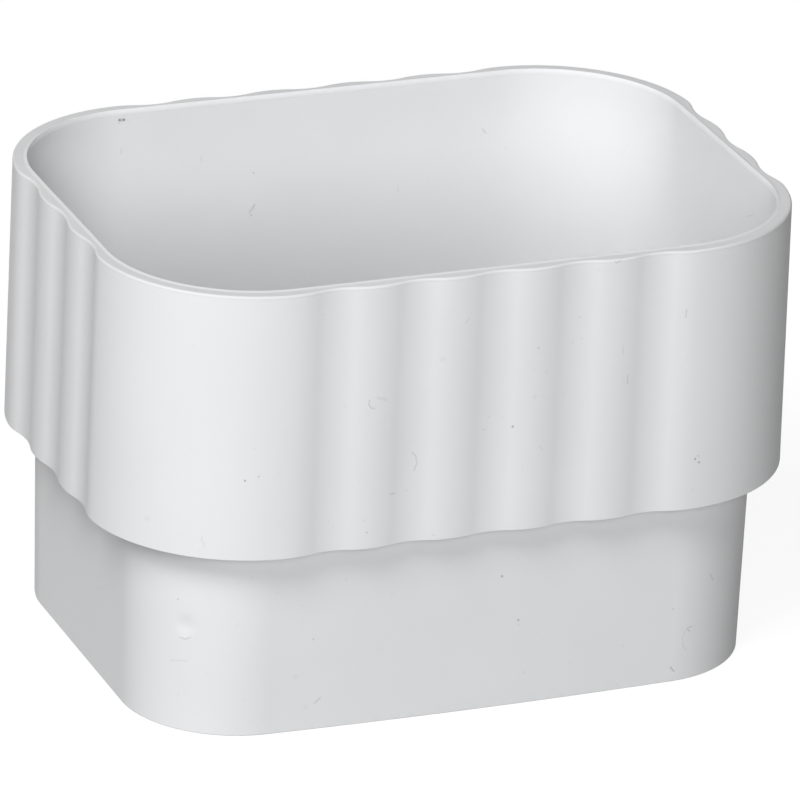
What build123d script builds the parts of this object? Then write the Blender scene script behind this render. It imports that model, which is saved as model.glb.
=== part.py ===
from build123d import *
import math
import os

# Downspout connector for nominal 2 x 3 inch rain pipe, moulded in one piece of rigid vinyl.
# The fluted socket on top takes the end of the upper pipe, which comes to rest on a stop ledge
# inside. The plain spigot below slips into the lower pipe as far as the socket's shoulder.
# Z runs up the water way, X along the long sides, and the origin is at the middle of the
# spigot's open end.

# Driving dimensions in millimetres
TOTAL_HEIGHT = 57.0
SPIGOT_HEIGHT = 24.1

# Socket outside, over the flute crests at its lower edge
SOCKET_LENGTH = 87.3
SOCKET_WIDTH = 64.0
SOCKET_CORNER = 19.0
SOCKET_DRAFT = 0.35
SOCKET_WALL = 1.9

# Flutes of the socket's outside
FLUTE_PITCH = 10.0
FLUTE_DEPTH = 0.65
HOLLOW_SHARE = 0.45
LONG_SIDE_FLUTES = 5
SHORT_SIDE_FLUTES = 3

# Rim and bore of the socket
RIM_ROUND = 0.35
LEAD_IN_WIDTH = 0.2
LEAD_IN_DEPTH = 0.4
BORE_DRAFT = 0.2
LEDGE_THICKNESS = 2.0

# Spigot outside at its open end, with the width measured at the middle of the bowed long sides
SPIGOT_LENGTH = 78.1
SPIGOT_WIDTH = 57.5
SPIGOT_CORNER = 13.7
SPIGOT_BOW = 1.1
SPIGOT_DRAFT = 0.4
SPIGOT_WALL = 1.8

# Flute wave: hollow and crest arcs that meet at one flank slope and add up to the flute depth
flank_slope = 2 * math.atan(2 * FLUTE_DEPTH / FLUTE_PITCH)
hollow_half = HOLLOW_SHARE * FLUTE_PITCH / 2
hollow_radius = hollow_half / math.sin(flank_slope)
crest_radius = (FLUTE_PITCH / 2 - hollow_half) / math.sin(flank_slope)
flank_level = hollow_radius * (1 - math.cos(flank_slope)) - FLUTE_DEPTH

# Levels and sizes that follow from the driving dimensions
ledge_level = SPIGOT_HEIGHT + LEDGE_THICKNESS
lead_in_level = TOTAL_HEIGHT - LEAD_IN_DEPTH
mouth_inset = SOCKET_DRAFT + SOCKET_WALL


def point_on_arc(centre, towards, radius):
    """Point at the given radius from an arc's centre, on the side of another point."""
    return centre + (towards - centre).normalized() * radius


def end_crest(hollow_at, corner_at, corner_radius):
    """Points of the crest arc that leads from a side's last hollow into its corner arc.

    The crest arc touches the hollow arc from outside and the corner arc from inside, so the three
    centres make a triangle of known sides, and the law of cosines places the crest arc's centre.
    """
    hollow_centre = Vector(hollow_at, hollow_radius - FLUTE_DEPTH)
    corner_centre = Vector(corner_at, -corner_radius)
    to_hollow = hollow_centre - corner_centre
    corner_reach = corner_radius - crest_radius
    hollow_reach = hollow_radius + crest_radius
    cosine = (corner_reach**2 + to_hollow.length**2 - hollow_reach**2) / (2 * corner_reach * to_hollow.length)
    turned = to_hollow.normalized().rotate(Axis.Z, -math.degrees(math.acos(cosine)))
    crest_centre = corner_centre + turned * corner_reach
    leaves_hollow = point_on_arc(hollow_centre, crest_centre, hollow_radius)
    meets_corner = point_on_arc(corner_centre, crest_centre, corner_radius)
    middle = point_on_arc(crest_centre, (leaves_hollow + meets_corner) / 2, crest_radius)
    return [leaves_hollow, middle, meets_corner]


def fluted_side(flutes, corner_at, corner_radius):
    """Points of one fluted side and the corner after it, each arc's start and then its middle.

    A point's X runs along the side from its middle and its Y outwards from the crest line.
    """
    last_hollow = (flutes - 1) / 2 * FLUTE_PITCH
    lead_out = end_crest(last_hollow, corner_at, corner_radius)
    points = [Vector(-p.X, p.Y) for p in reversed(lead_out)]
    for flute in range(flutes):
        hollow_at = flute * FLUTE_PITCH - last_hollow
        points.append(Vector(hollow_at, -FLUTE_DEPTH))
        if flute < flutes - 1:
            points.append(Vector(hollow_at + hollow_half, flank_level))
            points.append(Vector(hollow_at + FLUTE_PITCH / 2, 0))
            points.append(Vector(hollow_at + FLUTE_PITCH - hollow_half, flank_level))
    corner_centre = Vector(corner_at, -corner_radius)
    corner_middle = point_on_arc(corner_centre, corner_centre + Vector(1, 1), corner_radius)
    return points + lead_out + [corner_middle]


def fluted_outline(inset, level):
    """Outline of the socket's outside at one level, set in evenly from the one at its lower edge."""
    half_length = SOCKET_LENGTH / 2
    half_width = SOCKET_WIDTH / 2
    corner_radius = SOCKET_CORNER - inset
    short_side = fluted_side(SHORT_SIDE_FLUTES, half_width - SOCKET_CORNER, corner_radius)
    long_side = fluted_side(LONG_SIDE_FLUTES, half_length - SOCKET_CORNER, corner_radius)
    points = []
    for quarter in range(4):
        side, crest_line = (long_side, half_width) if quarter % 2 else (short_side, half_length)
        for p in side:
            outwards = Vector(crest_line - inset + p.Y, p.X, level)
            points.append(outwards.rotate(Axis.Z, 90 * quarter))
    points.append(points[0])
    arcs = [ThreePointArc(*points[i : i + 3]) for i in range(0, len(points) - 1, 2)]
    return make_face(arcs)


def socket_outside():
    """Fluted and drafted block, widest at its sharp lower edge and rounded over at the rim."""
    block = loft([fluted_outline(0, SPIGOT_HEIGHT), fluted_outline(SOCKET_DRAFT, TOTAL_HEIGHT)], ruled=True)
    rim_edges = block.faces().sort_by(Axis.Z)[-1].edges()
    return fillet(rim_edges, RIM_ROUND)


def bore_outline(inset, level):
    """Smooth outline of the socket's bore at one level, set in from the outside's lower edge."""
    length = SOCKET_LENGTH - 2 * inset
    width = SOCKET_WIDTH - 2 * inset
    return Pos(0, 0, level) * RectangleRounded(length, width, SOCKET_CORNER - inset)


def socket_bore():
    """Bore that narrows a little down to the stop ledge, with a lead-in cone at the mouth."""
    mouth = bore_outline(mouth_inset, lead_in_level)
    bore = loft([bore_outline(mouth_inset + BORE_DRAFT, ledge_level), mouth], ruled=True)
    lead_in = loft([mouth, bore_outline(mouth_inset - LEAD_IN_WIDTH, TOTAL_HEIGHT)], ruled=True)
    return bore + lead_in


def spigot_outline(inset, level):
    """Outline with straight short sides and long sides that bow outwards, set in from the open end's."""
    x = SPIGOT_LENGTH / 2 - inset
    middle_y = SPIGOT_WIDTH / 2 - inset
    y = middle_y - SPIGOT_BOW
    front = ThreePointArc((-x, -y), (0, -middle_y), (x, -y))
    back = ThreePointArc((x, y), (0, middle_y), (-x, y))
    sides = [front, Line((x, -y), (x, y)), back, Line((-x, y), (-x, -y))]
    face = make_face(sides)
    return Pos(0, 0, level) * fillet(face.vertices(), SPIGOT_CORNER - inset)


def spigot_block(inset, top_level):
    """Spigot tapered towards its open end, set in by a wall thickness for the hollow inside."""
    spread = SPIGOT_DRAFT * top_level / SPIGOT_HEIGHT
    return loft([spigot_outline(inset, 0), spigot_outline(inset - spread, top_level)], ruled=True)


def connector_body():
    """Socket and spigot in one piece, open from end to end."""
    outside = socket_outside() + spigot_block(0, SPIGOT_HEIGHT)
    return outside - socket_bore() - spigot_block(SPIGOT_WALL, ledge_level)


os.makedirs("parts", exist_ok=True)
export_step(connector_body(), "parts/connector_body.step")
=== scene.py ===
import math

import bpy
import numpy as np
from bpy.props import FloatProperty, FloatVectorProperty, IntProperty, PointerProperty
from mathutils import Matrix, Vector


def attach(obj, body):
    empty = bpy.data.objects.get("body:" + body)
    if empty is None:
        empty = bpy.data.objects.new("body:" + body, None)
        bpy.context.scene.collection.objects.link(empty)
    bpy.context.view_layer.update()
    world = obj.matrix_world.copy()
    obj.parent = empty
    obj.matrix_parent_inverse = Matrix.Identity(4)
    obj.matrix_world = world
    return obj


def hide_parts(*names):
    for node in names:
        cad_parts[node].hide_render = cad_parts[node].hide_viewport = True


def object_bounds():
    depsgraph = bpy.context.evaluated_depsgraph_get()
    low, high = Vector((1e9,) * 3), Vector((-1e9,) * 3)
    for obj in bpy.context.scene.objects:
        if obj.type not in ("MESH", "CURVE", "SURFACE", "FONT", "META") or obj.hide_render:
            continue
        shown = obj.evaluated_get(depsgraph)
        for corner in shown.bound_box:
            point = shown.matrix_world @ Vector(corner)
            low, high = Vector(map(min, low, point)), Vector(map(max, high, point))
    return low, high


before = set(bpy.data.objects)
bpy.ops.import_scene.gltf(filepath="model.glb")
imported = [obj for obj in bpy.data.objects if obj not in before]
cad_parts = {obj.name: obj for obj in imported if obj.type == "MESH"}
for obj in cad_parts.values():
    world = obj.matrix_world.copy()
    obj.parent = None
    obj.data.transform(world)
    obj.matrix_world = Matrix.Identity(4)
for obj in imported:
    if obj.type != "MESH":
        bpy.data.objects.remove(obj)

bl_info = {
    "name": "Downspout connector",
    "version": (1, 0, 0),
    "blender": (4, 5, 0),
    "location": "3D View > Sidebar > Connector",
    "description": "Builds a white vinyl downspout connector and the stage it is shown on",
    "category": "Object",
}

# The construction's box, taken before anything is added to it
CAD_LOW, CAD_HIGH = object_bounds()
BODY_NODE = "connector_body"
MM = 0.001
MICRON = 0.000001

# Samples of the wall outline on each long side, each short side and each corner
OUTLINE_SAMPLES = (150, 80, 60)

# Share of an even row's way to the edge at which the first and the last row of a face lie
EDGE_ROW_SHARE = 0.05

# Height above or below the rim's level within which a row still counts as the rim's flat top
FLAT_WITHIN = 5 * MICRON

# Share of a mark's reach within which it has its full depth
MARK_CORE = 0.3

# Length of a draw line over its width
DRAW_LINE_STRETCH = 50.0

# Gap between the spigot's open end and the floor
FLOOR_GAP = 10 * MICRON

# Grades of dark marks: radius of a speck or half width of a scratch, and the share of colour it takes away
SPECK_GRADES = {
    "black": (0.30 * MM, 0.60),
    "dark": (0.20 * MM, 0.42),
    "plain": (0.18 * MM, 0.22),
    "faint": (0.18 * MM, 0.10),
    "soft": (0.45 * MM, 0.05),
}
SCRATCH_GRADES = {
    "dark": (0.13 * MM, 0.34),
    "plain": (0.12 * MM, 0.18),
    "faint": (0.12 * MM, 0.09),
}

# Specks by wall and side: grade, then place along the side and height above the spigot's end in millimetres
SPECKS = {
    ("socket_outside", "front"): {
        "dark": ((-30.6, 34.2), (2.4, 37.3), (25.8, 30.5), (26.3, 30.0)),
        "plain": ((-29.1, 34.7), (-15.6, 26.2), (5.1, 47.0), (26.2, 30.8)),
        "faint": ((-18.6, 42.2), (-16.0, 27.8), (-10.6, 30.7), (6.3, 43.8), (9.7, 46.9), (10.8, 47.3),
                  (10.4, 50.0), (12.4, 55.8), (25.7, 26.6)),
        # The first soft speck sits in the small dent at the socket's corner and is painted shade in that
        # dent.
        "soft": ((-40.0, 27.7), (-6.8, 46.9), (4.9, 40.9)),
    },
    ("socket_outside", "left"): {"plain": ((-12.0, 27.6),), "faint": ((0.5, 46.0),)},
    ("bore_inside", "back"): {
        "black": ((-24.9, 55.8), (-24.4, 55.8)),
        "plain": ((-7.4, 47.1), (-7.5, 41.6)),
        "faint": ((-25.0, 55.4),),
    },
    ("spigot_outside", "front"): {
        "dark": ((5.4, 11.0), (3.0, 17.0)),
        "plain": ((-35.8, 16.8), (-20.5, 11.8), (25.6, 9.6)),
        "faint": ((-35.4, 4.5), (-16.7, 19.0), (-10.9, 16.4), (-4.0, 19.6), (4.9, 19.1), (5.5, 10.4),
                  (6.5, 4.0), (19.2, 5.7), (18.7, 0.8)),
        "soft": ((-22.5, 7.1), (-21.1, 3.0)),
    },
}

# Scratches in the same way, each a short line through two or more places
SCRATCHES = {
    ("socket_outside", "front"): {
        "plain": (((-15.8, 42.9), (-15.9, 42.4), (-15.6, 41.9), (-15.2, 41.8)),
                  ((-10.0, 35.4), (-9.5, 34.8), (-9.4, 34.0), (-9.7, 33.1)),
                  ((-12.8, 30.6), (-12.1, 30.6)), ((16.7, 42.2), (16.7, 41.1)), ((23.8, 49.7), (23.7, 48.7)),
                  # The three-point line at the rim's top is a painted shadow: the shade in a small nick in
                  # the rim's outer edge.
                  ((14.2, 56.9), (14.6, 56.6), (15.1, 56.9))),
        "faint": (((-34.9, 26.9), (-35.0, 26.3), (-34.6, 26.0), (-34.8, 25.4)), ((-4.2, 51.1), (-3.7, 51.7)),
                  ((15.8, 46.0), (15.9, 45.0)), ((5.8, 34.5), (6.2, 33.9)), ((-14.9, 43.0), (-13.7, 42.6))),
    },
    ("bore_inside", "back"): {
        "plain": (((22.6, 49.7), (23.1, 49.1)), ((-7.8, 42.0), (-7.4, 42.3), (-7.1, 42.9))),
        "faint": (((-24.6, 52.1), (-24.6, 51.4)), ((-14.2, 50.0), (-14.2, 49.2)),
                  ((11.7, 43.3), (11.7, 42.5))),
    },
    ("bore_inside", "right"): {"faint": (((-8.7, 50.7), (-10.4, 51.6)),)},
    ("spigot_outside", "front"): {
        "dark": (((25.7, 1.9), (26.2, 1.3)),),
        # The first plain line is a painted shadow: the dark crescent under the pressed dimple's lower edge.
        "plain": (((-35.5, 12.0), (-35.0, 11.9), (-34.5, 12.3)), ((-20.0, 3.4), (-19.3, 4.1)),
                  ((30.6, 13.2), (31.1, 12.2)), ((28.3, 6.9), (27.6, 6.7), (28.1, 6.2))),
        "faint": (((-36.2, 8.7), (-34.7, 9.2)), ((27.4, 6.4), (27.1, 5.6), (27.2, 4.6), (27.7, 3.9))),
    },
}

# Scuffs that stand up a little from the wall, as lines like the scratches
SCUFFS = {
    ("socket_outside", "front"): (((-14.8, 43.3), (-13.7, 42.9)),),
    ("bore_inside", "back"): (((-8.0, 42.3), (-7.1, 43.1)),),
    ("bore_inside", "right"): (((-0.7, 45.9), (-0.5, 45.9)), ((-6.2, 48.0), (-6.0, 48.0))),
}

# Dimples pressed into a wall: place along the side, height, radius and depth in millimetres
DIMPLES = {
    ("spigot_outside", "front"): ((-35.0, 13.7, 1.6, 0.15),),
    ("socket_outside", "front"): ((-40.0, 27.6, 0.9, 0.02),),
}

# How a side lies: the axis that it faces along and the sign on it
SIDES = {"front": (1, -1), "back": (1, 1), "left": (0, -1), "right": (0, 1)}


def length_of(name, description, default):
    """Length property in metres."""
    return FloatProperty(name=name, description=description, default=default, min=0.0, precision=5,
                         subtype="DISTANCE", unit="LENGTH")


def share_of(name, description, default):
    """Property between nothing and all."""
    return FloatProperty(name=name, description=description, default=default, min=0.0, max=1.0,
                         subtype="FACTOR")


def count_of(name, description, default):
    """Whole number of at least one."""
    return IntProperty(name=name, description=description, default=default, min=1)


def angle_of(name, description, default):
    """Angle property, given in degrees."""
    return FloatProperty(name=name, description=description, default=math.radians(default), subtype="ANGLE",
                         unit="ROTATION")


def direction_of(name, description, azimuth, elevation):
    """Azimuth from the front and elevation above the horizon, given in degrees."""
    return FloatVectorProperty(name=name, description=description, size=2, subtype="EULER", unit="ROTATION",
                               default=(math.radians(azimuth), math.radians(elevation)))


def power_of(name, description, default):
    """Lamp power in watts."""
    return FloatProperty(name=name, description=description, default=default, min=0.0, unit="POWER")


def colour_of(name, description, default):
    """Colour property, linear red, green and blue."""
    return FloatVectorProperty(name=name, description=description, default=default, size=3, min=0.0, max=1.0,
                               subtype="COLOR")


class SocketSizes(bpy.types.PropertyGroup):
    """Fluted socket that takes the upper pipe."""

    rim_height: length_of("Rim height", "Height of the rim above the spigot's open end", CAD_HIGH.z)
    length: length_of("Length", "Outside length over the crests at the lower edge", CAD_HIGH.x - CAD_LOW.x)
    width: length_of("Width", "Outside width over the crests at the lower edge", CAD_HIGH.y - CAD_LOW.y)
    corner: length_of("Corner", "Outside corner radius at the lower edge", 19.0 * MM)
    draft: length_of("Draft", "How far each wall leans in from the lower edge to the rim", 0.35 * MM)
    wall: length_of("Wall", "Wall thickness over a crest at the rim", 1.9 * MM)
    flute_pitch: length_of("Flute pitch", "Distance from one flute to the next", 10.0 * MM)
    flute_depth: length_of("Flute depth", "Depth of a flute below the crests", 0.65 * MM)
    hollow_share: share_of("Hollow share", "Part of the pitch that the hollow arc takes", 0.45)
    long_flutes: count_of("Long side flutes", "Flutes on each long side", 5)
    short_flutes: count_of("Short side flutes", "Flutes on each short side", 3)
    rim_round: length_of("Rim round", "Reach of the rounding on the rim's outer edge", 0.35 * MM)
    lip_height: length_of("Lip height", "Height of the fine lip along the rim's inner edge", 0.12 * MM)
    lip_width: length_of("Lip width", "Width of the lip's outer slope", 0.4 * MM)
    lead_in_width: length_of("Lead-in width", "Width of the slope inside the rim", 0.2 * MM)
    lead_in_depth: length_of("Lead-in depth", "Depth of the slope inside the rim", 0.4 * MM)
    bore_draft: length_of("Bore draft", "How far each bore wall leans in down to the ledge", 0.2 * MM)
    ledge: length_of("Ledge", "Thickness of the stop ledge above the socket's lower edge", 2.0 * MM)


class SpigotSizes(bpy.types.PropertyGroup):
    """Plain spigot that enters the lower pipe."""

    height: length_of("Height", "Height from the open end to the socket's lower edge", 24.1 * MM)
    length: length_of("Length", "Outside length at the open end", 78.1 * MM)
    width: length_of("Width", "Outside width at the middle of the bowed long sides", 57.5 * MM)
    corner: length_of("Corner", "Outside corner radius at the open end", 13.7 * MM)
    bow: length_of("Bow", "How far the long sides bow out between the corners", 0.5 * MM)
    draft: length_of("Draft", "How far each wall leans out from the open end to the socket", 0.4 * MM)
    wall: length_of("Wall", "Wall thickness", 1.8 * MM)


class VinylFinish(bpy.types.PropertyGroup):
    """Looks of the moulded vinyl."""

    colour: colour_of("Colour", "Colour of the vinyl", (0.922, 0.929, 0.938))
    roughness: share_of("Roughness", "How far the satin surface spreads a reflection", 0.66)
    gloss: share_of("Gloss", "Strength of the reflections", 0.22)
    cloud_size: length_of("Cloud size", "Size of the soft patches of lighter and darker vinyl", 18.0 * MM)
    cloud_depth: share_of("Cloud depth", "How much the patches differ in colour", 0.03)
    gloss_change: share_of("Gloss change", "How much the roughness differs over the patches", 0.1)
    wave_size: length_of("Wave size", "Length of the wall's faint waves", 9.0 * MM)
    wave_height: length_of("Wave height", "Height of the wall's faint waves", 12.0 * MICRON)
    grain_size: length_of("Grain size", "Size of the moulded grain", 0.6 * MM)
    grain_height: length_of("Grain height", "Height of the moulded grain", 1.5 * MICRON)
    draw_line_width: length_of("Draw line width", "Spacing of the mould's upright draw lines", 0.25 * MM)
    draw_line_height: length_of("Draw line height", "Height of the mould's upright draw lines", 0.4 * MICRON)
    fleck_size: length_of("Fleck size", "Size of the fine flecks in the vinyl", 0.5 * MM)
    fleck_onset: share_of("Fleck onset", "Noise level at which a fine fleck begins", 0.84)
    fleck_full: share_of("Fleck full", "Noise level at which a fine fleck has its full depth", 0.95)
    fleck_depth: share_of("Fleck depth", "Share of colour that a fine fleck takes away", 0.12)
    mark_roughness: share_of("Mark roughness", "How much rougher the vinyl is in a dark mark", 0.3)
    ragged_size: length_of("Ragged size", "Size of the ragged outline of the marks", 0.45 * MM)
    ragged_reach: length_of("Ragged reach", "How far a mark's outline strays", 0.07 * MM)
    scuff_height: length_of("Scuff height", "Height of a scuff above the wall", 25.0 * MICRON)
    scuff_width: length_of("Scuff width", "Half width of a scuff", 0.15 * MM)
    # Edge colour and edge wear darken the edges' roundings: painted shade that dims their highlights and
    # darkens the outlines.
    edge_shade_colour: colour_of("Edge colour", "Colour of the rubbed and soiled edges", (0.78, 0.785, 0.79))
    edge_shade: share_of("Edge wear", "How far the edges are rubbed and soiled", 0.5)
    # The rim's flat top is darkened by painted shade, so that its level top reads darker than the walls.
    rim_shade: share_of("Rim dust", "Share of colour that dust takes away on the rim's flat top", 0.08)


class StageSettings(bpy.types.PropertyGroup):
    """Camera, lamps and floor of the stage."""

    azimuth: angle_of("Camera azimuth", "Turn of the camera around the connector", -22.197)
    elevation: angle_of("Camera elevation", "Angle of the camera above the horizon", 22.731)
    roll: angle_of("Camera roll", "Tilt of the picture about the line of sight", 2.290)
    distance: length_of("Camera distance", "Distance from the middle of the connector", 1.02397)
    lens: FloatProperty(name="Focal length", description="Camera lens in millimetres", default=383.55,
                        min=1.0)
    shift: FloatVectorProperty(name="Shift", description="Picture shift", default=(0.0092, -0.0030), size=2)
    lamp_distance: length_of("Lamp distance", "Distance of each lamp from the connector", 1.2)
    lamp_size: length_of("Lamp size", "Diameter of each round soft lamp", 0.5)
    front_direction: direction_of("Front lamp", "Azimuth and elevation of the front lamp", -15, 20)
    front_power: power_of("Front power", "Power of the front lamp", 6.5)
    left_direction: direction_of("Left lamp", "Azimuth and elevation of the left lamp", -90, 35)
    left_power: power_of("Left power", "Power of the left lamp", 3.2)
    high_direction: direction_of("High lamp", "Azimuth and elevation of the high lamp", -45, 50)
    high_power: power_of("High power", "Power of the high lamp", 5.8)
    back_direction: direction_of("Back lamp", "Azimuth and elevation of the back lamp", 158, 10)
    back_power: power_of("Back power", "Power of the back lamp", 1.6)
    fill: share_of("Fill", "Strength of the even light from all round", 0.055)
    floor_size: length_of("Floor size", "Length of the square floor's sides", 4.0)
    floor_grey: share_of("Floor grey", "How much of the lamps' light the floor gives back", 0.25)
    floor_white: share_of("Floor white", "Brightness of the white paper under the lamps' light", 0.88)


LAMPS = ("front", "left", "high", "back")


def outline_walk(long_samples, short_samples, corner_samples):
    """Walk once round a rounded rectangle, the right side first and anticlockwise.

    Sample k lies at (across * (half_x - corner) + corner * cos(facing),
    along * (half_y - corner) + corner * sin(facing)). On a side the wall's facing angle stays and across
    or along runs from one corner's centre to the next. On a corner both stay and facing makes a quarter turn.
    """
    across, along, facing = [], [], []
    for quarter in range(4):
        samples = long_samples if quarter % 2 else short_samples
        run = np.r_[np.linspace(-1, 1, samples, endpoint=False), np.ones(corner_samples)]
        turn = np.r_[np.zeros(samples), np.linspace(0, 1, corner_samples, endpoint=False)]
        start = np.array((math.cos(quarter * math.pi / 2), math.sin(quarter * math.pi / 2))).round()
        across.append(start[0] - start[1] * run)
        along.append(start[1] + start[0] * run)
        facing.append((quarter + turn) * math.pi / 2)
    return np.concatenate(across), np.concatenate(along), np.concatenate(facing)


def rounded_outline(walk, half_x, half_y, corner, level, bow=0.0, relief=0.0):
    """Rounded rectangle at one level.

    Each point of the walk is set in by relief and out by bow along the wall's facing. The bow falls off as a
    parabola from the middle of a long side to its corners.
    """
    across, along, facing = walk
    reach = corner - relief + bow * (1 - across**2) * np.abs(np.sin(facing))
    x = across * (half_x - corner) + reach * np.cos(facing)
    y = along * (half_y - corner) + reach * np.sin(facing)
    return np.stack((x, y, np.full_like(x, level)), axis=-1)


def flute_relief(distance, flutes, sizes):
    """Depth of the flutes at a distance along the wall from the middle of a side.

    Hollow and crest are arcs that meet at one flank slope, twice the arc tangent of 2 depth / pitch. In the
    hollow the depth is depth - r + sqrt(r^2 - t^2), t from its middle, and on the crest it is
    r - sqrt(r^2 - t^2), t from the crest. Past the last crest the wall is plain.
    """
    pitch, depth = sizes.flute_pitch, sizes.flute_depth
    slope = 2 * math.atan(2 * depth / pitch)
    hollow_half = sizes.hollow_share * pitch / 2
    hollow_radius = hollow_half / math.sin(slope)
    crest_radius = (pitch / 2 - hollow_half) / math.sin(slope)
    from_hollow = np.abs((distance + pitch / 2) % pitch - pitch / 2)
    in_hollow = np.minimum(from_hollow, hollow_half)
    from_crest = pitch / 2 - np.maximum(from_hollow, hollow_half)
    hollow = depth - hollow_radius + np.sqrt(hollow_radius**2 - in_hollow**2)
    crest = crest_radius - np.sqrt(crest_radius**2 - from_crest**2)
    relief = np.where(from_hollow < hollow_half, hollow, crest)
    return np.where(distance < flutes * pitch / 2, relief, 0.0)


def socket_relief(walk, sizes):
    """Flute depth all round the socket, from the distance along the wall to the middle of either side."""
    across, along, facing = walk
    from_long = np.abs(across) * (sizes.length / 2 - sizes.corner)
    from_long = from_long + sizes.corner * np.arccos(np.clip(np.abs(np.sin(facing)), 0, 1))
    from_short = np.abs(along) * (sizes.width / 2 - sizes.corner)
    from_short = from_short + sizes.corner * np.arccos(np.clip(np.abs(np.cos(facing)), 0, 1))
    long_side = flute_relief(from_long, sizes.long_flutes, sizes)
    short_side = flute_relief(from_short, sizes.short_flutes, sizes)
    return long_side + short_side


class WallOutlines:
    """Outlines of the connector's walls at any level, all sampled along one walk."""

    def __init__(self, socket, spigot):
        self.socket = socket
        self.spigot = spigot
        self.walk = outline_walk(*OUTLINE_SAMPLES)
        self.relief = socket_relief(self.walk, socket)
        self.mouth = socket.draft + socket.wall
        self.mouth_level = socket.rim_height - socket.lead_in_depth
        self.ledge_level = spigot.height + socket.ledge

    def socket_line(self, inset, level, relief=0.0):
        """Socket outline set in evenly from the one at the outside's lower edge."""
        sizes = self.socket
        half_x = sizes.length / 2 - inset
        half_y = sizes.width / 2 - inset
        return rounded_outline(self.walk, half_x, half_y, sizes.corner - inset, level, relief=relief)

    def socket_outside(self, level):
        """Fluted outside, which leans in by the draft from its lower edge to the rim."""
        rise = (level - self.spigot.height) / (self.socket.rim_height - self.spigot.height)
        return self.socket_line(self.socket.draft * rise, level, self.relief)

    def bore_inside(self, level):
        """Smooth bore, which leans in by its draft from the mouth down to the ledge."""
        drop = (self.mouth_level - level) / (self.mouth_level - self.ledge_level)
        return self.socket_line(self.mouth + self.socket.bore_draft * drop, level)

    def spigot_line(self, inset, level):
        """Spigot outline set in evenly from the outside's, which leans out by the draft up to the socket."""
        sizes = self.spigot
        inset = inset - sizes.draft * level / sizes.height
        half_x = sizes.length / 2 - inset
        half_y = sizes.width / 2 - sizes.bow - inset
        return rounded_outline(self.walk, half_x, half_y, sizes.corner - inset, level, bow=sizes.bow)

    def spigot_outside(self, level):
        """Plain outside of the spigot."""
        return self.spigot_line(0.0, level)

    def spigot_inside(self, level):
        """Inside of the spigot, a wall thickness in from its outside."""
        return self.spigot_line(self.spigot.wall, level)

    def place_on(self, wall, side, along, level):
        """Point on one side of a wall, at a place along the side and a level, both in metres."""
        axis, sign = SIDES[side]
        outline = getattr(self, wall)(level)
        half = outline[outline[:, axis] * sign > 0]
        half = half[np.argsort(half[:, 1 - axis])]
        point = np.array((along, along, level))
        point[axis] = np.interp(along, half[:, 1 - axis], half[:, axis])
        return point

    def section_corners(self):
        """Corners of the wall section from the spigot's open end up the outside and down the inside.

        Each is an outline, the reach of its rounding, how much painted shade that edge's rounding gets, the
        rows of the rounding and the rows of the next face.
        """
        socket, spigot = self.socket, self.spigot
        edge = 0.1 * MM
        fine = 0.04 * MM
        lip_top = self.mouth - socket.lead_in_width
        return [
            # The third value of each corner is how much painted shade its rounding gets.
            (self.spigot_outside(0.0), edge, 1.0, 4, 44),
            (self.spigot_outside(spigot.height), edge, 0.0, 3, 2),
            (self.socket_outside(spigot.height), edge / 2, 0.2, 4, 18),
            (self.socket_outside(socket.rim_height), socket.rim_round, 1.0, 9, 2),
            (self.socket_line(lip_top - socket.lip_width, socket.rim_height), fine, 0.0, 3, 0),
            (self.socket_line(lip_top, socket.rim_height + socket.lip_height), fine, 0.3, 4, 2),
            (self.bore_inside(self.mouth_level), 2 * edge, 0.3, 4, 10),
            (self.bore_inside(self.ledge_level), 2 * edge, 0.0, 4, 2),
            (self.spigot_inside(self.ledge_level), 2 * edge, 1.0, 4, 6),
            (self.spigot_inside(0.0), edge, 1.0, 4, 2),
        ]


def wall_section(corners):
    """Rows of the closed wall section, carried round the outline, and how much painted shade each row gets.

    A rounding is the parabola that touches both faces at the reach from the corner, and gets its corner's
    painted shade. A face is straight and gets none. Its rows are even, but the first and the last lie close
    to its edges.
    """
    def step_from(here, towards, reach):
        way = towards - here
        return here + way * (reach / np.linalg.norm(way, axis=-1, keepdims=True))

    rows, edges = [], []
    for k, (here, reach, shaded, round_rows, face_rows) in enumerate(corners):
        before = corners[k - 1][0]
        after, after_reach = corners[(k + 1) % len(corners)][:2]
        touch_before = step_from(here, before, reach)
        touch_after = step_from(here, after, reach)
        t = np.linspace(0, 1, round_rows)[:, None, None]
        rows.append((1 - t) ** 2 * touch_before + 2 * t * (1 - t) * here + t**2 * touch_after)
        s = np.linspace(0, 1, face_rows + 2)[1:-1]
        s[:1] *= EDGE_ROW_SHARE
        s[-1:] = 1 - EDGE_ROW_SHARE * (1 - s[-1:])
        rows.append(touch_after + (step_from(after, here, after_reach) - touch_after) * s[:, None, None])
        edges.append(np.r_[np.full(round_rows, shaded), np.zeros(face_rows)])
    return np.concatenate(rows), np.concatenate(edges)


def rows_on_rim(rows, rim_height):
    """Value by row: 1 where the whole row lies in the rim's flat top, 0 elsewhere."""
    return (np.abs(rows[:, :, 2] - rim_height).max(axis=1) < FLAT_WITHIN).astype(float)


def press_dimples(rows, outlines):
    """Rows pressed in at each dimple against the wall's facing, by depth * (1 - (distance / radius)^2)^2."""
    facing = outlines.walk[2]
    inwards = -np.stack((np.cos(facing), np.sin(facing), np.zeros_like(facing)), axis=-1)
    for (wall, side), dimples in DIMPLES.items():
        for along, height, radius, depth in dimples:
            middle = outlines.place_on(wall, side, along * MM, height * MM)
            share = np.linalg.norm(rows - middle, axis=-1, keepdims=True) / (radius * MM)
            rows = rows + inwards * depth * MM * np.clip(1 - share**2, 0, 1) ** 2
    return rows


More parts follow.
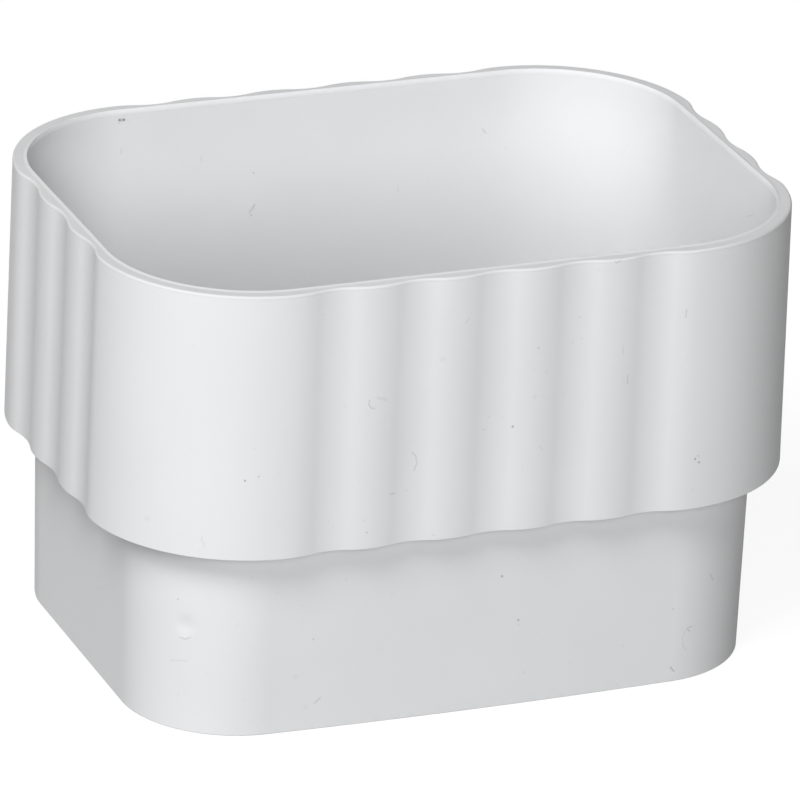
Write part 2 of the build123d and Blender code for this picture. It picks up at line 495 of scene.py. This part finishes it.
def closed_grid(name, rows, values):
    """Mesh of a grid that closes on itself both ways, faces outwards, with named values given by row."""
    levels, samples = rows.shape[:2]
    index = np.arange(levels * samples).reshape(levels, samples)
    beside = np.roll(index, -1, axis=1)
    above = np.roll(index, -1, axis=0)
    quads = np.stack((index, beside, np.roll(beside, -1, axis=0), above), axis=-1).reshape(-1, 4)
    mesh = bpy.data.meshes.new(name)
    mesh.from_pydata(rows.reshape(-1, 3), [], quads)
    for value, by_row in values.items():
        mesh.attributes.new(value, "FLOAT", "POINT").data.foreach_set("value", np.repeat(by_row, samples))
    mesh.shade_smooth()
    return mesh


def add_node(tree, kind, inputs=None, **settings):
    """Shader node with its settings, and its inputs linked from sockets or set to values."""
    node = tree.nodes.new("ShaderNode" + kind)
    for name, value in settings.items():
        setattr(node, name, value)
    for name, value in (inputs or {}).items():
        if isinstance(value, bpy.types.NodeSocket):
            tree.links.new(value, node.inputs[name])
        else:
            node.inputs[name].default_value = value
    return node


def math_of(tree, operation, *values, **settings):
    """Output of a Math node over one to three values."""
    return add_node(tree, "Math", dict(enumerate(values)), operation=operation, **settings).outputs[0]


def vector_of(tree, operation, *values):
    """Output of a Vector Math node over two vectors."""
    node = add_node(tree, "VectorMath", dict(enumerate(values)), operation=operation)
    return node.outputs["Value" if operation in ("DISTANCE", "DOT_PRODUCT") else "Vector"]


def noise_of(tree, place, size, detail=1.0, output="Fac"):
    """Noise with features of one size in metres."""
    inputs = {"Vector": place, "Scale": 1.0 / size, "Detail": detail}
    return add_node(tree, "TexNoise", inputs, noise_dimensions="3D").outputs[output]


def fade_out(tree, distance, reach, depth):
    """Mask that is the depth near a mark's middle and falls smoothly to nothing at its reach."""
    core = MARK_CORE * reach
    inputs = {"Value": distance, "From Min": reach, "From Max": core, "To Min": 0.0, "To Max": depth}
    return add_node(tree, "MapRange", inputs, interpolation_type="SMOOTHSTEP").outputs["Result"]


def scratch_group():
    """Distance to the nearest point of a straight scratch.

    The pace is the run from start to end over its own length squared, so the dot product with it is the share
    of the run at the foot of the shortest way, held between the two ends.
    """
    tree = bpy.data.node_groups.new("scratch", "ShaderNodeTree")
    for name in ("Position", "Start", "Run", "Pace"):
        tree.interface.new_socket(name, in_out="INPUT", socket_type="NodeSocketVector")
    tree.interface.new_socket("Distance", in_out="OUTPUT", socket_type="NodeSocketFloat")
    given = tree.nodes.new("NodeGroupInput").outputs
    out = tree.nodes.new("NodeGroupOutput").inputs
    from_start = vector_of(tree, "SUBTRACT", given["Position"], given["Start"])
    share = add_node(tree, "Clamp", {"Value": vector_of(tree, "DOT_PRODUCT", from_start, given["Pace"])})
    way = {0: given["Run"], "Scale": share.outputs["Result"]}
    foot = add_node(tree, "VectorMath", way, operation="SCALE")
    tree.links.new(vector_of(tree, "DISTANCE", from_start, foot.outputs["Vector"]), out["Distance"])
    return tree


def smallest_of(tree, distances):
    """Smallest of several distances."""
    smallest = distances[0]
    for distance in distances[1:]:
        smallest = math_of(tree, "MINIMUM", smallest, distance)
    return smallest


def speck_distances(tree, place, outlines, wall, side, spots):
    """Distances to specks at spots on a wall, given in millimetres."""
    centres = [outlines.place_on(wall, side, along * MM, height * MM) for along, height in spots]
    return [vector_of(tree, "DISTANCE", place, centre) for centre in centres]


def scratch_distances(tree, place, outlines, wall, side, spots, group):
    """Distances to the runs of a scratch through spots on a wall, given in millimetres."""
    points = [outlines.place_on(wall, side, along * MM, height * MM) for along, height in spots]
    distances = []
    for start, end in zip(points, points[1:]):
        run = end - start
        node = add_node(tree, "Group", node_tree=group)
        tree.links.new(place, node.inputs["Position"])
        node.inputs["Start"].default_value = start
        node.inputs["Run"].default_value = run
        node.inputs["Pace"].default_value = run / run.dot(run)
        distances.append(node.outputs["Distance"])
    return distances


def dark_marks(tree, place, outlines, group):
    """Mask of all specks and scratches: each grade fades out from its nearest mark, the darkest is taken."""
    masks = []
    for grade, (reach, depth) in SPECK_GRADES.items():
        near = [distance for (wall, side), grades in SPECKS.items()
                for distance in speck_distances(tree, place, outlines, wall, side, grades.get(grade, ()))]
        masks.append(fade_out(tree, smallest_of(tree, near), reach, depth))
    for grade, (reach, depth) in SCRATCH_GRADES.items():
        near = [distance for (wall, side), grades in SCRATCHES.items() for spots in grades.get(grade, ())
                for distance in scratch_distances(tree, place, outlines, wall, side, spots, group)]
        masks.append(fade_out(tree, smallest_of(tree, near), reach, depth))
    darkest = masks[0]
    for mask in masks[1:]:
        darkest = math_of(tree, "MAXIMUM", darkest, mask)
    return darkest


def raised_scuffs(tree, place, outlines, group, finish):
    """Height of all scuffs above the wall."""
    near = [distance for (wall, side), lines in SCUFFS.items() for spots in lines
            for distance in scratch_distances(tree, place, outlines, wall, side, spots, group)]
    return fade_out(tree, smallest_of(tree, near), finish.scuff_width, finish.scuff_height)


def surface_height(tree, place, scuffs, finish):
    """Height of the vinyl over its smooth wall: faint waves, moulded grain, upright draw lines and scuffs."""
    squeeze = {"Vector": place, "Scale": (1.0, 1.0, 1.0 / DRAW_LINE_STRETCH)}
    stretched = add_node(tree, "Mapping", squeeze).outputs["Vector"]
    waves = math_of(tree, "MULTIPLY", noise_of(tree, place, finish.wave_size, 0.0), finish.wave_height)
    grain = math_of(tree, "MULTIPLY", noise_of(tree, place, finish.grain_size), finish.grain_height)
    drawn = noise_of(tree, stretched, finish.draw_line_width, 0.0)
    lines = math_of(tree, "MULTIPLY", drawn, finish.draw_line_height)
    relief = math_of(tree, "ADD", waves, grain)
    return math_of(tree, "ADD", math_of(tree, "ADD", relief, lines), scuffs)


def ragged_place(tree, place, finish):
    """Place that strays by a fine noise, for marks with a ragged outline."""
    noise = noise_of(tree, place, finish.ragged_size, 0.0, "Color")
    stray = vector_of(tree, "SUBTRACT", noise, (0.5, 0.5, 0.5))
    inputs = {0: stray, 1: (2 * finish.ragged_reach,) * 3, 2: place}
    return add_node(tree, "VectorMath", inputs, operation="MULTIPLY_ADD").outputs["Vector"]


def fine_flecks(tree, place, finish):
    """Mask of the fine flecks, which lie all over the vinyl."""
    inputs = {"Value": noise_of(tree, place, finish.fleck_size, 0.0), "From Min": finish.fleck_onset,
              "From Max": finish.fleck_full, "To Max": finish.fleck_depth}
    return add_node(tree, "MapRange", inputs).outputs["Result"]


def change_over(tree, cloud, middle, reach):
    """Value that goes with the clouding from reach below a middle value to reach above it."""
    inputs = {"Value": cloud, "To Min": middle - reach, "To Max": middle + reach}
    return add_node(tree, "MapRange", inputs).outputs["Result"]


def vinyl_colour(tree, cloud, dark, finish):
    """Clouded colour of the vinyl, with painted shade on the edges' roundings and on the rim's flat top,
    darker in the marks.
    """
    clouded = change_over(tree, cloud, 1.0, finish.cloud_depth)
    # Painted shade on the rim's flat top, varied by the clouding.
    rim = add_node(tree, "Attribute", attribute_name="rim").outputs["Fac"]
    shading = math_of(tree, "MULTIPLY", rim, math_of(tree, "MULTIPLY", cloud, 2.0 * finish.rim_shade))
    kept = math_of(tree, "SUBTRACT", 1.0, math_of(tree, "MAXIMUM", dark, shading))
    lightness = math_of(tree, "MULTIPLY", clouded, kept)

    # Painted shade on the edges' roundings, by each row's edge value and varied by the clouding.
    edge = add_node(tree, "Attribute", attribute_name="edge").outputs["Fac"]
    darkening = math_of(tree, "MULTIPLY", cloud, 2.0 * finish.edge_shade)
    darkened = math_of(tree, "MULTIPLY", edge, darkening, use_clamp=True)
    change = Vector(finish.edge_shade_colour) - Vector(finish.colour)
    mixed = {0: darkened, 1: change, 2: finish.colour}
    body = add_node(tree, "VectorMath", mixed, operation="MULTIPLY_ADD").outputs["Vector"]
    return add_node(tree, "VectorMath", {0: body, "Scale": lightness}, operation="SCALE").outputs["Vector"]


def vinyl_material(finish, outlines):
    """Satin white vinyl with soft clouding, painted shade on the edges and the rim's flat top, flecks, and
    marks of handling among a few painted shadows.
    """
    material = bpy.data.materials.new("white_vinyl")
    material.use_nodes = True
    tree = material.node_tree
    shader = tree.nodes["Principled BSDF"]
    place = add_node(tree, "TexCoord").outputs["Object"]
    scratch = scratch_group()
    marks = dark_marks(tree, ragged_place(tree, place, finish), outlines, scratch)
    dark = math_of(tree, "MAXIMUM", marks, fine_flecks(tree, place, finish))
    cloud = noise_of(tree, place, finish.cloud_size, 2.0)
    tree.links.new(vinyl_colour(tree, cloud, dark, finish), shader.inputs["Base Color"])

    uneven = change_over(tree, cloud, finish.roughness, finish.gloss_change)
    rough = math_of(tree, "MULTIPLY_ADD", dark, finish.mark_roughness, uneven)
    tree.links.new(rough, shader.inputs["Roughness"])
    shader.inputs["Specular IOR Level"].default_value = finish.gloss

    scuffs = raised_scuffs(tree, place, outlines, scratch, finish)
    height = surface_height(tree, place, scuffs, finish)
    bump = add_node(tree, "Bump", {"Height": height, "Distance": 1.0, "Strength": 1.0})
    tree.links.new(bump.outputs["Normal"], shader.inputs["Normal"])
    return material


class CONNECTOR_OT_body(bpy.types.Operator):
    """Build the connector's moulded body"""

    bl_idname = "connector.body"
    bl_label = "Connector Body"

    def execute(self, context):
        scene = context.scene
        outlines = WallOutlines(scene.connector_socket, scene.connector_spigot)
        rows, edges = wall_section(outlines.section_corners())
        values = {"edge": edges, "rim": rows_on_rim(rows, scene.connector_socket.rim_height)}
        mesh = closed_grid("moulded_body", press_dimples(rows, outlines), values)
        body = bpy.data.objects.new("moulded_body", mesh)
        scene.collection.objects.link(body)
        body.data.materials.append(vinyl_material(scene.connector_finish, outlines))
        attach(body, "root")
        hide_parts(BODY_NODE)
        return {"FINISHED"}


def direction(azimuth, elevation):
    """Unit vector from the connector, azimuth 0 to the front and positive to the right."""
    level = math.cos(elevation)
    return Vector((math.sin(azimuth) * level, -math.cos(azimuth) * level, math.sin(elevation)))


def aim_camera(stage, middle):
    """Camera at its azimuth, elevation and distance from the middle, rolled about the line of sight."""
    back = direction(stage.azimuth, stage.elevation)
    right = Vector((math.cos(stage.azimuth), math.sin(stage.azimuth), 0.0))
    up = back.cross(right)
    turned_right = right * math.cos(stage.roll) + up * math.sin(stage.roll)
    turned_up = up * math.cos(stage.roll) - right * math.sin(stage.roll)
    data = bpy.data.cameras.new("camera")
    data.lens = stage.lens
    data.sensor_width = 36.0
    data.shift_x, data.shift_y = stage.shift
    data.clip_start, data.clip_end = 0.01, 20.0
    camera = bpy.data.objects.new("camera", data)
    turn = Matrix((turned_right, turned_up, back)).transposed().to_4x4()
    camera.matrix_world = Matrix.Translation(middle + back * stage.distance) @ turn
    bpy.context.scene.collection.objects.link(camera)
    bpy.context.scene.camera = camera


def hang_lamp(name, stage, middle):
    """Round soft lamp at its direction and distance, turned to the middle."""
    data = bpy.data.lights.new(name, "AREA")
    data.shape = "DISK"
    data.size = stage.lamp_size
    data.energy = getattr(stage, name + "_power")
    lamp = bpy.data.objects.new(name + "_lamp", data)
    towards = direction(*getattr(stage, name + "_direction"))
    lamp.location = middle + towards * stage.lamp_distance
    lamp.rotation_euler = towards.to_track_quat("Z", "Y").to_euler()
    lamp.visible_camera = False
    bpy.context.scene.collection.objects.link(lamp)


def seen_directly(tree):
    """Mask that is 1 for what the camera sees, also in a reflection or through glass."""
    rays = add_node(tree, "LightPath").outputs
    seen = math_of(tree, "MAXIMUM", rays["Is Camera Ray"], rays["Is Glossy Ray"])
    return math_of(tree, "MAXIMUM", seen, rays["Is Transmission Ray"])


def white_world(stage):
    """World that looks white and gives only an even fill light."""
    world = bpy.data.worlds.new("studio")
    world.use_nodes = True
    tree = world.node_tree
    strength = {"Value": seen_directly(tree), "To Min": stage.fill, "To Max": 1.0}
    background = tree.nodes["Background"]
    background.inputs["Color"].default_value = (1.0, 1.0, 1.0, 1.0)
    tree.links.new(add_node(tree, "MapRange", strength).outputs["Result"], background.inputs["Strength"])
    return world


def floor_material(stage):
    """White paper: a little of the lamps' light, which keeps the shadow, over paper that looks white."""
    material = bpy.data.materials.new("white_paper")
    material.use_nodes = True
    tree = material.node_tree
    tree.nodes.remove(tree.nodes["Principled BSDF"])
    grey = (stage.floor_grey,) * 3
    matte = add_node(tree, "BsdfDiffuse", {"Color": (*grey, 1.0)})
    strength = math_of(tree, "MULTIPLY", seen_directly(tree), stage.floor_white)
    white = add_node(tree, "Emission", {"Strength": strength})
    both = add_node(tree, "AddShader", {0: matte.outputs["BSDF"], 1: white.outputs["Emission"]})
    tree.links.new(both.outputs["Shader"], tree.nodes["Material Output"].inputs["Surface"])
    return material


def lay_floor(stage):
    """Square floor just under the spigot's open end."""
    half = stage.floor_size / 2
    corners = np.array(((-half, -half), (half, -half), (half, half), (-half, half)))
    points = np.c_[corners, np.full(4, CAD_LOW.z - FLOOR_GAP)]
    mesh = bpy.data.meshes.new("floor")
    mesh.from_pydata(points, [], [(0, 1, 2, 3)])
    mesh.materials.append(floor_material(stage))
    floor = bpy.data.objects.new("floor", mesh)
    bpy.context.scene.collection.objects.link(floor)


class CONNECTOR_OT_stage(bpy.types.Operator):
    """Set up the floor, the lamps and the camera"""

    bl_idname = "connector.stage"
    bl_label = "Stage"

    def execute(self, context):
        scene = context.scene
        stage = scene.connector_stage
        middle = Vector((0.0, 0.0, (CAD_LOW.z + CAD_HIGH.z) / 2))
        aim_camera(stage, middle)
        for name in LAMPS:
            hang_lamp(name, stage, middle)
        scene.world = white_world(stage)
        lay_floor(stage)
        scene.view_settings.view_transform = "Standard"
        return {"FINISHED"}


class CONNECTOR_PT_panel(bpy.types.Panel):
    """Sidebar panel with the connector's operators, sizes and finish"""

    bl_label = "Downspout Connector"
    bl_idname = "CONNECTOR_PT_panel"
    bl_space_type = "VIEW_3D"
    bl_region_type = "UI"
    bl_category = "Connector"

    def draw(self, context):
        for operator in OPERATORS:
            self.layout.operator(operator.bl_idname)
        for name, group in GROUPS.items():
            box = self.layout.box()
            box.label(text=group.__doc__)
            for setting in group.__annotations__:
                box.prop(getattr(context.scene, name), setting)


GROUPS = {"connector_socket": SocketSizes, "connector_spigot": SpigotSizes,
          "connector_finish": VinylFinish, "connector_stage": StageSettings}
OPERATORS = (CONNECTOR_OT_body, CONNECTOR_OT_stage)
CLASSES = (*GROUPS.values(), *OPERATORS, CONNECTOR_PT_panel)


def register():
    """Add the classes, and the settings of each group to the scene."""
    for cls in CLASSES:
        bpy.utils.register_class(cls)
    for name, group in GROUPS.items():
        setattr(bpy.types.Scene, name, PointerProperty(type=group))


def unregister():
    """Take the settings and the classes away again."""
    for name in GROUPS:
        delattr(bpy.types.Scene, name)
    for cls in reversed(CLASSES):
        bpy.utils.unregister_class(cls)


def main():
    """Build the connector and its stage."""
    register()
    bpy.ops.connector.body()
    bpy.ops.connector.stage()


if __name__ == "__main__":
    main()
